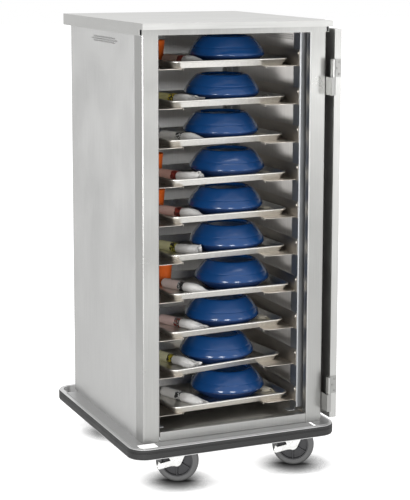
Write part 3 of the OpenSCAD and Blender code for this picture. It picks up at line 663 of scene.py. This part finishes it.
@dataclass
class MealSets:
    """Ten laid meals: insulated cover on its base, rolled napkin, tumblers and packets."""

    finishes: Finishes
    tray_w: float = 460.0
    tray_y: float = -92.0
    tray_t: float = 1.5
    tray_flare: float = 18.0
    top_ledge_z: float = 1424.65
    pitch: float = 133.35
    cover_r: float = 134.0
    cover_top: float = 98.0
    ring_r: float = 85.0
    seat_z: float = 32.0
    well_depth: float = 7.0
    roll_r: float = 16.0
    roll_axis: float = 15.0
    roll_l: float = 205.0
    roll_inner: float = 6.0
    roll_turns: float = 2.6
    # The roll's start angle in radians, its plain share from the back, and how its front half departs from it
    roll_start: float = 0.6
    plain_share: float = 0.47
    swell_rate: float = 1.15
    pleats: float = 4.0
    crimps: float = 1.7
    crease_back: float = 0.8
    crease_front: float = 2.4
    # The sheet's middle stays this far above the tray
    sheet_gap: float = 0.9
    sheet_t: float = 0.7
    sleeve_t: float = 0.4
    sleeve_crease: float = 1.6
    band_back: float = 25.0
    band_front: float = -1.0
    cup_h: float = 78.0
    cup_r: float = 36.0
    cup_y: float = 110.0
    packet_half: Point = (16.0, 27.0, 3.3)
    # Edges up to these angles are shaded smooth
    crisp_turned: float = 38.0
    crisp_thin: float = 40.0
    crisp_paper: float = 60.0
    laid: tuple[Laid, ...] = (
        Laid(
            1, 22, 10, 2.0, (54, -28), (-115, -45, 18), RollEnd.TAPERED,
            "#CDB0A2", ("#8E3A30", "#6A2A26", "#A04A38"), cup=-160, packet=True,
        ),
        Laid(
            2, 14, 15, 4.5, (42, -36), (-135, -30, 20), RollEnd.CRUMPLED,
            "#DDD79A", ("#C8B030", "#2E2E2A", "#E0D060"),
        ),
        Laid(
            3, 6, 15, 4.5, (47, -36), (-112, -55, 22), RollEnd.TAPERED,
            "#ECEBE8", ("#D6D6D4", "#262628", "#2E2E30"), packet=True,
        ),
        Laid(
            4, 10, -6, 4.0, (68, -18), (-137, -45, 20), RollEnd.FANNED,
            "#EDBFB0", ("#96382E", "#7A2C28", "#A84A3C"), cup=-160, packet=True,
        ),
        Laid(
            5, 24, 14, 2.5, (48, -34), (-130, -55, 26), RollEnd.TAPERED,
            "#F0C6BC", ("#94392F", "#4A2A28", "#A84A3C"), cup=-160, packet=True,
        ),
        Laid(
            6, 22, 20, 3.0, (57, -40), (-128, -20, 21), RollEnd.FANNED,
            "#EAE6B4", ("#2C2C28", "#C8C050", "#1E1E1E"),
        ),
        Laid(
            7, 30, -4, 0.0, (70, -14), (-124, -46, 25), RollEnd.TAPERED,
            "#EAD6D0", ("#2A2A2C", "#C8C8C6", "#4A4A4C"), cup=-147,
        ),
        Laid(
            8, 9, 6, 4.5, (50, -28), (-116, -38, 20), RollEnd.FLAP,
            "#F0D2CC", ("#8A3C30", "#5A5A58", "#A8A8A4"), packet=True,
        ),
        Laid(
            9, -2, 12, 8.0, (38, -36), (-130, -25, 12), RollEnd.CRUMPLED,
            "#ECEAC2", ("#3A3A34", "#C8B830", "#2A2A28"),
        ),
        Laid(
            10, 22, -8, 2.5, (61, -14), (-130, -40, 18), RollEnd.FLAP,
            "#F0EFEC", ("#2A2A2C", "#D8D8D6", "#3A3A3C"), packet=True,
        ),
    )

    def cover_profile(self) -> list[tuple[float, float]]:
        """Gives the cover's outline from its lower edge, over the belly and the ring, to the well.

        Returns:
            Radius and height of each ring in mm.
        """
        # Each ring: how far inside the belly's radius, and how far above the seat
        below = [
            (12, 3), (8, 0.6), (2.2, 0.3), (0.6, 0.6),
            (0, 1.6), (0.2, 4), (0.7, 7), (1.7, 10.2), (3.2, 13.8),
            (5.2, 17.8), (7.5, 21.8), (9.6, 25), (10.4, 25.9),
            (11.6, 26.4), (12.5, 27.6), (13.0, 29.6), (14.4, 32),
        ]
        # Each ring: how far outside the top ring's radius, and its height
        above = [
            (31, 69.4), (26.5, 74.8), (21.4, 80.6), (15.6, 86.6), (11.4, 90.6),
            (7.8, 93.6), (4, 96), (0.4, 97.4),
        ]
        # Each ring: how far inside the top ring's radius, and how far below the top
        well = [(3.4, 0), (7, 0.4), (9.6, 1.6), (11, 3.4), (11.8, 5.6), (13, self.well_depth)]
        return (
            [(self.cover_r - inside, self.seat_z + up) for inside, up in below]
            + [(self.ring_r + outside, z) for outside, z in above]
            + [(self.ring_r - inside, self.cover_top - down) for inside, down in well]
            + [(r, self.cover_top - self.well_depth) for r in (40, 0)]
        )

    def base_profile(self) -> list[tuple[float, float]]:
        """Gives the base's outline, from its foot to its rim.

        Returns:
            Radius and height of each ring in mm.
        """
        foot, rim, seat = self.cover_r - 43, self.cover_r - 1.8, self.seat_z
        return [
            (0, 1.5), (70, 1.5), (foot - 6, 1.2), (foot - 4, 0.1), (foot, 0.1), (foot + 3, 1.0),
            (foot + 6, 3.0), (foot + 16, 10.4), (rim - 4.6, seat - 7), (rim - 1.6, seat - 3.6),
            (rim, seat - 1.4), (rim - 0.4, seat - 0.2), (rim - 5, seat - 0.1), (foot, 8), (0, 8),
        ]

    def tumbler_profile(self) -> list[tuple[float, float]]:
        """Gives the tumbler's outline, outside and in.

        Returns:
            Radius and height of each ring in mm.
        """
        r, foot, h = self.cup_r, self.cup_r - 8, self.cup_h
        return [
            (0, 1.2), (foot - 3, 1.2), (foot - 2, 0), (foot - 0.6, 0.2), (foot, 1.2), (foot + 1.2, 12),
            (r - 2.6, h - 16), (r - 1.6, h - 14.5), (r - 1.4, h - 3), (r - 0.6, h - 2), (r - 0.2, h - 0.8),
            (r - 0.9, h), (r - 1.7, h - 0.6), (r - 2.6, h - 10), (foot - 1.5, 4), (0, 3),
        ]

    def roll_point(self, laid: Laid, share: float, lap: float) -> Point:
        """Gives one point of a rolled napkin about the roll's own middle.

        Args:
            laid: the meal it belongs to.
            share: how far along the roll from its back end, 0 to 1.
            lap: how far round the spiral from its inner edge, 0 to 1.

        Returns:
            The point in metres, with the roll along Y and the tray's floor at z = 0.
        """
        shape = laid.end.value
        front = max(0.0, (share - self.plain_share) / (1 - self.plain_share))
        swell = shape.swell * math.sin(math.pi * min(1.0, front * self.swell_rate))
        wide = 1 + swell + shape.widen * front**2
        high = 1 + 0.5 * swell + shape.heighten * front**2
        turn = 2 * math.pi * self.roll_turns * lap
        r = self.roll_inner + (self.roll_r - self.roll_inner) * lap
        pleat = 1 + shape.pleat * front * math.sin(self.pleats * turn + laid.level)
        # Each level's napkin reads the noise at a height of its own
        spot = Vector((3.0 * math.cos(turn), 3.0 * math.sin(turn), 14 * share + 5 * laid.level))
        crease = (self.crease_back + self.crease_front * front) * noise.noise(spot)
        x = (r * pleat + crease) * wide * math.cos(turn + self.roll_start)
        z = (r * pleat + crease) * high * math.sin(turn + self.roll_start) + self.roll_axis * high
        y = self.roll_l * (0.5 - share) + shape.crimp * front**2 * math.sin(self.crimps * turn + laid.level)
        return x * MM, y * MM, max(z, self.sheet_gap) * MM

    def roll_sheet(self, laid: Laid) -> tuple[bpy.types.Object, float]:
        """Makes the napkin: one sheet rolled up, its front end fanned, tapered or crumpled.

        Args:
            laid: the meal it belongs to.

        Returns:
            The napkin about its own middle, lying along Y, and the width of its sheet in metres.
        """
        along, around = 36, 96
        points = [
            self.roll_point(laid, i / along, k / around) for i in range(along + 1) for k in range(around + 1)
        ]
        row = around + 1
        faces = [
            (i * row + k, i * row + k + 1, (i + 1) * row + k + 1, (i + 1) * row + k)
            for i in range(along)
            for k in range(around)
        ]
        mesh = bpy.data.meshes.new("napkin")
        mesh.from_pydata(points, [], faces)
        mesh.update()
        piece = bpy.data.objects.new("napkin", mesh)
        bpy.context.scene.collection.objects.link(piece)
        width = sum(face.area for face in mesh.polygons) / (self.roll_l * MM)
        return piece, width

    def sleeve(self, name: str, start: float, end: float, r: float, crease: float = 0.0) -> bpy.types.Object:
        """Makes a paper tube round the roll, from start to end along it.

        Args:
            name: the piece's name.
            start: distance of one end behind the roll's middle in mm.
            end: distance of the other end behind the roll's middle in mm.
            r: the tube's outer radius in mm.
            crease: how far its wall is crumpled in mm.

        Returns:
            The tube about the roll's middle, along Y.
        """
        deselect_all()
        bpy.ops.mesh.primitive_cylinder_add(
            vertices=48,
            radius=r * MM,
            depth=abs(end - start) * MM,
            end_fill_type="NOTHING",
            location=(0, (start + end) / 2 * MM, self.roll_axis * MM),
            rotation=(math.pi / 2, 0, 0),
        )
        piece = bpy.context.object
        bpy.ops.object.mode_set(mode="EDIT")
        bpy.ops.mesh.select_all(action="SELECT")
        bpy.ops.mesh.subdivide(number_cuts=7 if crease else 1)
        bpy.ops.object.mode_set(mode="OBJECT")
        wall = piece.modifiers.new("wall", "SOLIDIFY")
        wall.thickness = self.sleeve_t * MM
        wall.offset = -1
        piece = settle(piece, name)
        axis = Vector((0, 0, self.roll_axis * MM))
        for corner in piece.data.vertices:
            out = Vector((corner.co.x, 0, corner.co.z)) - axis
            corner.co += out.normalized() * crease * MM * noise.noise(corner.co * 70 + Vector((0, 0, r)))
            corner.co.z = max(corner.co.z, 0.35 * MM)
        return piece

    def packet_piece(self) -> bpy.types.Object:
        """Makes one small paper packet: a pillow with pinched ends, slightly waisted.

        Returns:
            The packet, standing on z = 0 about its own middle.
        """
        half_w, half_l, middle = (length * MM for length in self.packet_half)
        deselect_all()
        bpy.ops.mesh.primitive_cube_add(size=2, location=(0, 0, middle), scale=(half_w, half_l, middle))
        piece = bpy.context.object
        bpy.ops.object.transform_apply(location=True, rotation=True, scale=True)
        bpy.ops.object.mode_set(mode="EDIT")
        bpy.ops.mesh.select_all(action="SELECT")
        bpy.ops.mesh.subdivide(number_cuts=3)
        bpy.ops.object.mode_set(mode="OBJECT")
        for corner in piece.data.vertices:
            end = abs(corner.co.y) / half_l
            side = abs(corner.co.x) / half_w
            lift = corner.co.z - middle
            corner.co.z = middle + lift * max(0.12, (1 - end**3)) * (1 - 0.35 * side**2)
            corner.co.x *= 1 - 0.16 * (1 - end) ** 2
        round_off = piece.modifiers.new("round", "SUBSURF")
        round_off.levels = 2
        round_off.render_levels = 2
        return settle(piece, "packet")

    def place(self, laid: Laid, x: float, y: float, turn: float = 0.0, lift: float = 0.0) -> Matrix:
        """Gives the place of a piece on its tray.

        Args:
            laid: the meal it belongs to.
            x: distance from the tray's centre to the tray's right in mm.
            y: distance from the tray's centre to the tray's back in mm.
            turn: the piece's own turn on the tray in degrees.
            lift: height above the tray's floor in mm.

        Returns:
            The matrix that carries it there.
        """
        ledge = self.top_ledge_z - (laid.level - 1) * self.pitch
        tray = Matrix.Translation(Vector((laid.shift, self.tray_y + laid.inward, ledge)) * MM)
        turned = Matrix.Rotation(math.radians(laid.turn), 4, "Z")
        spot = Matrix.Translation(Vector((x, y, self.tray_t + lift)) * MM)
        return tray @ turned @ spot @ Matrix.Rotation(math.radians(turn), 4, "Z")

    def finish_piece(
        self, piece: bpy.types.Object, laid: Laid, material: bpy.types.Material
    ) -> None:
        """Gives a piece its material and lets it ride with its tray.

        Args:
            piece: the piece.
            laid: the meal it belongs to.
            material: its finish.
        """
        piece.data.materials.clear()
        piece.data.materials.append(material)
        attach(piece, f"tray_set_{laid.level}")

    def build(self) -> None:
        """Makes all ten meals from one set of patterns."""
        cover = turn_profile("cover_pattern", self.cover_profile())
        smooth(cover, self.crisp_turned)
        base = turn_profile("base_pattern", self.base_profile())
        smooth(base, self.crisp_turned)
        cup = turn_profile("tumbler_pattern", self.tumbler_profile(), 64)
        smooth(cup, self.crisp_thin)
        packet = self.packet_piece()
        smooth(packet, self.crisp_paper)
        for laid in self.laid:
            self.lay_cover(laid, cover, base)
            self.lay_napkin(laid)
            if laid.cup is not None:
                at = self.place(laid, laid.cup, self.cup_y, lift=0.3)
                self.finish_piece(copy_to(cup, f"tumbler_{laid.level}", at), laid, self.finishes.tumbler)
            if laid.packet:
                self.lay_packets(laid, packet)
            dress(f"tray_{laid.level}", self.finishes.pan)
            LOG.info("laid tray %d", laid.level)
        for pattern in (cover, base, cup, packet):
            bpy.data.objects.remove(pattern, do_unlink=True)

    def lay_cover(self, laid: Laid, cover: bpy.types.Object, base: bpy.types.Object) -> None:
        """Sets the base with its cover on a tray.

        Args:
            laid: what the tray carries.
            cover: the cover to copy.
            base: the base to copy.
        """
        spot = self.place(laid, *laid.cover)
        lid = copy_to(cover, f"meal_cover_{laid.level}", spot)
        self.finish_piece(lid, laid, self.finishes.cover)
        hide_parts(f"meal_{laid.level}")
        foot = copy_to(base, f"meal_base_{laid.level}", spot)
        self.finish_piece(foot, laid, self.finishes.base)

    def lay_napkin(self, laid: Laid) -> None:
        """Lays the rolled napkin with its tinted sleeve and its band on a tray.

        Args:
            laid: what the tray carries.
        """
        n = laid.level
        roll_at = self.place(laid, *laid.roll)
        napkin, width = self.roll_sheet(laid)
        napkin.data.transform(roll_at)
        wall = napkin.modifiers.new("paper", "SOLIDIFY")
        wall.thickness = self.sheet_t * MM
        wall.offset = -1
        napkin = settle(napkin, f"napkin_{n}")
        smooth(napkin, self.crisp_paper)
        self.finish_piece(napkin, laid, self.finishes.napkin)
        tint = Moulded(f"tinted_sleeve_paper_{n}", laid.sleeve, 0.75, bump=0.2).material()
        # The sleeve ends 4 mm short of the roll's end and runs 4 mm under the band
        start, end = self.roll_l / 2 - 4, self.band_back - 4
        back = self.sleeve(f"napkin_sleeve_{n}", start, end, self.roll_r + 0.9, self.sleeve_crease)
        back.data.transform(roll_at)
        smooth(back, self.crisp_thin)
        self.finish_piece(back, laid, tint)
        print_finish = PrintedBand(f"printed_band_{n}", *laid.band).material()
        band = self.sleeve(f"napkin_band_{n}", self.band_back, self.band_front, self.roll_r + 1.4)
        band.data.transform(roll_at)
        smooth(band, self.crisp_thin)
        self.finish_piece(band, laid, print_finish)

    def lay_packets(self, laid: Laid, packet: bpy.types.Object) -> None:
        """Lays two packets near the tray's right edge, the upper one askew.

        Args:
            laid: what the tray carries.
            packet: the packet to copy.
        """
        half_w, _, half_t = self.packet_half
        x, y, askew = self.tray_w / 2 - self.tray_flare - half_w - 2, -52, 13
        low = self.place(laid, x, y, lift=0.2)
        high = self.place(laid, x, y + 1, askew, 2 * half_t)
        self.finish_piece(copy_to(packet, f"packet_low_{laid.level}", low), laid, self.finishes.packet)
        self.finish_piece(copy_to(packet, f"packet_high_{laid.level}", high), laid, self.finishes.packet)


# ---- Studio ----------------------------------------------------------------------------


@dataclass(frozen=True)
class SoftBox:
    """One square soft lamp, placed by its bearing from straight in front of the cart.

    Attributes:
        name: the lamp's name.
        bearing: its bearing to the cart's right, in degrees.
        distance: how far it hangs from the cart's middle, in metres.
        height: its height in metres.
        size: length of its side in metres.
        power: its power in watts.
    """

    name: str
    bearing: float
    distance: float
    height: float
    size: float
    power: float

    def hang(self, aim: Vector) -> None:
        """Hangs the lamp.

        Args:
            aim: the point it faces.
        """
        data = bpy.data.lights.new(self.name, "AREA")
        data.shape = "SQUARE"
        data.size = self.size
        data.energy = self.power
        turn = math.radians(self.bearing)
        at = Vector((self.distance * math.sin(turn), -self.distance * math.cos(turn), self.height))
        lamp = bpy.data.objects.new(self.name, data)
        lamp.location = at
        lamp.rotation_mode = "QUATERNION"
        lamp.rotation_quaternion = (aim - at).to_track_quat("-Z", "Y")
        bpy.context.scene.collection.objects.link(lamp)


@dataclass
class Studio:
    """Camera, floor, world and soft lamps."""

    # The camera's place, turns and lens were fitted to the long edges of the photographed cart
    camera_at: Point = (-2.1540, -5.0656, 1.8327)
    yaw: float = 24.0
    pitch: float = -8.9
    roll: float = 0.2
    lens: float = 110.91
    shift: tuple[float, float] = (-0.0294, -0.125)
    clip_end: float = 60.0
    world_diffuse: float = 0.40
    floor_size: float = 60.0
    floor_colour: str = "#E8E8E8"
    floor_roughness: float = 0.9
    floor_mirrored: float = 0.45
    # The painted contact shadow's reach round what meets the floor, in metres, and how steeply it deepens
    contact: float = 0.13
    contact_depth: float = 6.0
    aim_z: float = 0.8
    boxes: tuple[SoftBox, ...] = (
        SoftBox("left_box", -42, 4.5, 1.1, 1.0, 80.0),
        SoftBox("middle_box", -6, 4.5, 1.1, 1.0, 60.0),
        SoftBox("right_box", 35, 4.5, 1.1, 0.9, 12.0),
        SoftBox("top_box", 0, 0.6, 4.6, 2.6, 65.0),
    )

    def camera(self) -> None:
        """Sets the camera where the photograph was taken from."""
        data = bpy.data.cameras.new("camera")
        data.lens = self.lens
        data.sensor_width = SENSOR_MM
        data.shift_x, data.shift_y = self.shift
        data.clip_end = self.clip_end
        made = bpy.data.objects.new("camera", data)
        yaw, pitch = math.radians(self.yaw), math.radians(self.pitch)
        ahead = Vector((math.sin(yaw) * math.cos(pitch), math.cos(yaw) * math.cos(pitch), math.sin(pitch)))
        aim = ahead.to_track_quat("-Z", "Y").to_matrix().to_4x4()
        tilt = Matrix.Rotation(math.radians(self.roll), 4, "Z")
        made.matrix_world = Matrix.Translation(self.camera_at) @ aim @ tilt
        bpy.context.scene.collection.objects.link(made)
        bpy.context.scene.camera = made

    def floor(self) -> None:
        """Lays a floor that is white to the camera and pale to reflections, with a painted contact shadow
        where wheels meet it.
        """
        deselect_all()
        bpy.ops.mesh.primitive_plane_add(size=self.floor_size, location=(0, 0, 0))
        plane = bpy.context.object
        plane.name = "floor"
        made, tree, shader = blank_material("pale_floor")
        path = add_node(tree, "ShaderNodeLightPath")
        mirrored = compute(tree, "MULTIPLY", path.outputs["Is Glossy Ray"], self.floor_mirrored)
        level = compute(tree, "MAXIMUM", path.outputs["Is Camera Ray"], mirrored)
        # Ambient occlusion darkens the floor's colour and glow near the wheels: a painted contact shadow
        nearness = add_node(
            tree, "ShaderNodeAmbientOcclusion", settings={"samples": 16}, values={"Distance": self.contact}
        )
        open_share = compute(tree, "POWER", nearness.outputs["AO"], self.contact_depth)
        shader.inputs["Roughness"].default_value = self.floor_roughness
        shader.inputs["Emission Color"].default_value = (1, 1, 1, 1)
        tree.links.new(toned(tree, self.floor_colour, open_share), shader.inputs["Base Color"])
        tree.links.new(compute(tree, "MULTIPLY", level, open_share), shader.inputs["Emission Strength"])
        plane.data.materials.append(made)

    def world(self) -> None:
        """Makes surroundings that are white to the camera and to reflections, and plain grey to the rest."""
        made = bpy.data.worlds.new("studio")
        made.use_nodes = True
        tree = made.node_tree
        tree.nodes.clear()
        path = add_node(tree, "ShaderNodeLightPath")
        seen = compute(tree, "MAXIMUM", path.outputs["Is Camera Ray"], path.outputs["Is Glossy Ray"])
        through = compute(tree, "MAXIMUM", seen, path.outputs["Is Transmission Ray"])
        level = add_node(
            tree,
            "ShaderNodeMapRange",
            values={"To Min": self.world_diffuse, "To Max": 1.0},
            links={"Value": through},
        )
        glow = add_node(
            tree,
            "ShaderNodeBackground",
            values={"Color": (1, 1, 1, 1)},
            links={"Strength": level.outputs["Result"]},
        )
        add_node(tree, "ShaderNodeOutputWorld", links={"Surface": glow.outputs["Background"]})
        bpy.context.scene.world = made

    def build(self) -> None:
        """Sets up the whole studio."""
        self.camera()
        self.floor()
        self.world()
        for box in self.boxes:
            box.hang(Vector((0.0, 0.0, self.aim_z)))
        bpy.context.scene.view_settings.view_transform = "Standard"
        LOG.info("studio is up")


def main() -> None:
    """Builds the cart's looks in order."""
    logging.basicConfig(level=logging.INFO, format="%(message)s")
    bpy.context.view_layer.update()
    Studio().build()
    finishes = Finishes()
    Cabinet(finishes).build()
    Door(finishes).build()
    Casters(finishes).build()
    MealSets(finishes).build()
    deselect_all()


if __name__ == "__main__":
    main()
